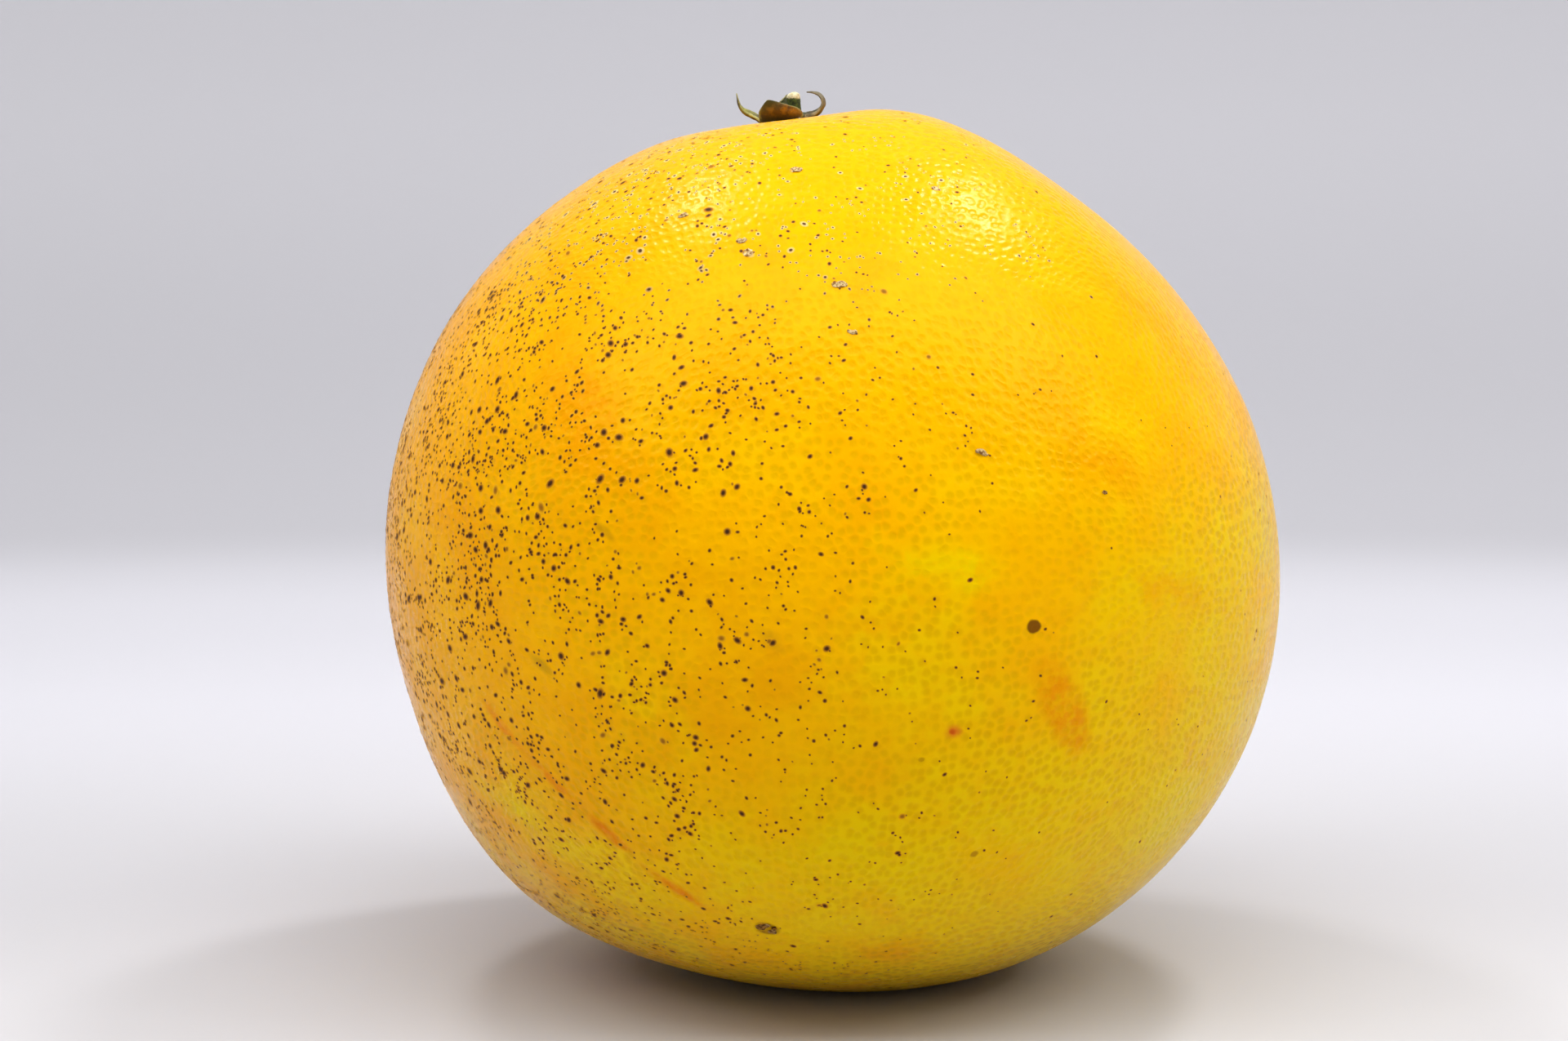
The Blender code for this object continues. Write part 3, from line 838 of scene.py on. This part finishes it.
def make_sweep(material):
    """Round sheet of paper that lies flat under the fruit and curves up into a wall all round."""
    centre = -0.9  # in front of the fruit
    flat = 1.24
    bend = 0.65
    bend_steps = 24
    profile = [(0.0, 0.0), (0.5 * flat, 0.0), (flat, 0.0)]
    for step in range(1, bend_steps + 1):
        angle = math.radians(90.0 * step / bend_steps)
        profile.append((flat + bend * math.sin(angle), bend - bend * math.cos(angle)))
    sheet = bmesh.new()
    rim = [sheet.verts.new((0.0, centre + far, high)) for far, high in profile]
    edges = [sheet.edges.new(pair) for pair in zip(rim, rim[1:])]
    bmesh.ops.spin(
        sheet,
        geom=rim + edges,
        cent=(0.0, centre, 0.0),
        axis=(0.0, 0.0, 1.0),
        angle=2.0 * math.pi,
        steps=96,
    )
    bmesh.ops.remove_doubles(sheet, verts=sheet.verts[:], dist=1e-5)
    bmesh.ops.recalc_face_normals(sheet, faces=sheet.faces[:])
    mesh = bpy.data.meshes.new("paper_sweep")
    sheet.to_mesh(mesh)
    sheet.free()
    mesh.materials.append(material)
    mesh.shade_smooth()
    return link_object("paper_sweep", mesh)


def add_lamp(name, place, aim, width, depth, watts):
    """Soft rectangular lamp."""
    light = bpy.data.lights.new(name, "AREA")
    light.shape = "RECTANGLE"
    light.size = width
    light.size_y = depth
    light.energy = watts
    lamp = bpy.data.objects.new(name, light)
    bpy.context.scene.collection.objects.link(lamp)
    lamp.location = place
    lamp.rotation_euler = (Vector(aim) - Vector(place)).to_track_quat("-Z", "Y").to_euler()


def light_studio():
    """Soft light from above and both sides, and two small lamps behind that give the highlights."""
    world = bpy.data.worlds.new("studio")
    world.use_nodes = True
    tree = world.node_tree
    background = tree.nodes["Background"]
    way = add(tree, "ShaderNodeTexCoord").outputs["Generated"]
    up = add(tree, "ShaderNodeSeparateXYZ", {0: way}).outputs["Z"]
    glow = mix(tree, fit(tree, up, 0.1, 0.8), "74747A", "F4F4F8")
    tree.links.new(glow, background.inputs["Color"])
    background.inputs["Strength"].default_value = 0.33
    bpy.context.scene.world = world
    add_lamp("lamp_left", (-0.21, 0.20, 0.65), (0.0, 0.05, 0.05), 0.12, 0.08, 0.9)
    add_lamp("lamp_right", (0.25, 0.20, 0.65), (0.0, 0.05, 0.05), 0.08, 0.12, 1.4)
    add_lamp("lamp_high", (0.0, -0.38, 1.15), (0.0, 0.0, 0.05), 1.2, 0.6, 9.8)
    add_lamp("lamp_low", (0.0, -1.25, 0.80), (0.0, 0.0, 0.07), 1.4, 0.5, 1.0)
    add_lamp("side_left", (-0.85, -0.35, 0.95), (0.0, 0.0, 0.05), 0.5, 0.6, 3.8)
    add_lamp("side_right", (0.85, -0.30, 0.95), (0.0, 0.0, 0.05), 0.5, 0.6, 5.0)


def place_camera():
    """Camera a little above the middle of the fruit, in front of it."""
    distance = 0.624
    pitch = math.radians(8.0)
    aim = MIDDLE + Vector((-8.2 * MM, 0.0, 4.1 * MM))
    camera = bpy.data.cameras.new("camera")
    camera.sensor_width = 36.0
    camera.lens = 85.0
    eye = bpy.data.objects.new("camera", camera)
    bpy.context.scene.collection.objects.link(eye)
    eye.location = aim + Vector((0.0, -distance * math.cos(pitch), distance * math.sin(pitch)))
    eye.rotation_euler = (math.radians(90.0) - pitch, 0.0, 0.0)
    bpy.context.scene.camera = eye


def main():
    place_camera()
    light_studio()
    bpy.context.scene.view_settings.view_transform = "Standard"
    make_sweep(paper_material("matt seamless paper"))

    skin = make_skin(rind_material())
    specks = make_specks(skin, speck_material())
    scabs = make_scabs(cork_material())
    for piece in (skin, specks, scabs):
        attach(piece, "root")
    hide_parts("fruit")

    # The first colour of each sepal material is the painted shade near the rind.
    straw = sepal_material("dried sepal, straw green", "3A2A08", "8A8426", "AAA63C", "BEB766", "40331A")
    brown = sepal_material("dried sepal, brown", "140A02", "9C6A0A", "5A3806", "989250", "3C3C10")
    green = sepal_material("dried sepal, dark green", "1E1C08", "3C480E", "2C300C", "A09A66", "4A4A20")
    right = sepal_material("dried sepal, olive and brown", "1C1806", "423E10", "5A4014", "A4946A", "6E6448")
    base = sepal_material("dried calyx disc", "241A08", "3A2A0C", "4A4010", "6A5A2A", "4A3A14")
    dried = (
        ("calyx_disc", base, "dried_calyx", 0.0),
        ("stalk_stub", stub_material(), "stalk_scar", 0.0),
        ("sepal_left", straw, "straw_sepal", 0.32),
        ("sepal_front", brown, "brown_sepal", 0.0),
        ("sepal_right", right, "green_sepal", 0.22),
        ("sepal_rear", green, "green_sepal", 0.0),
        ("sepal_back", green, "green_sepal", 0.0),
    )
    for node, material, slot, tilt in dried:
        piece = refine(node, material, tilt)
        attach(piece, "root")
        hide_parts(node)


main()
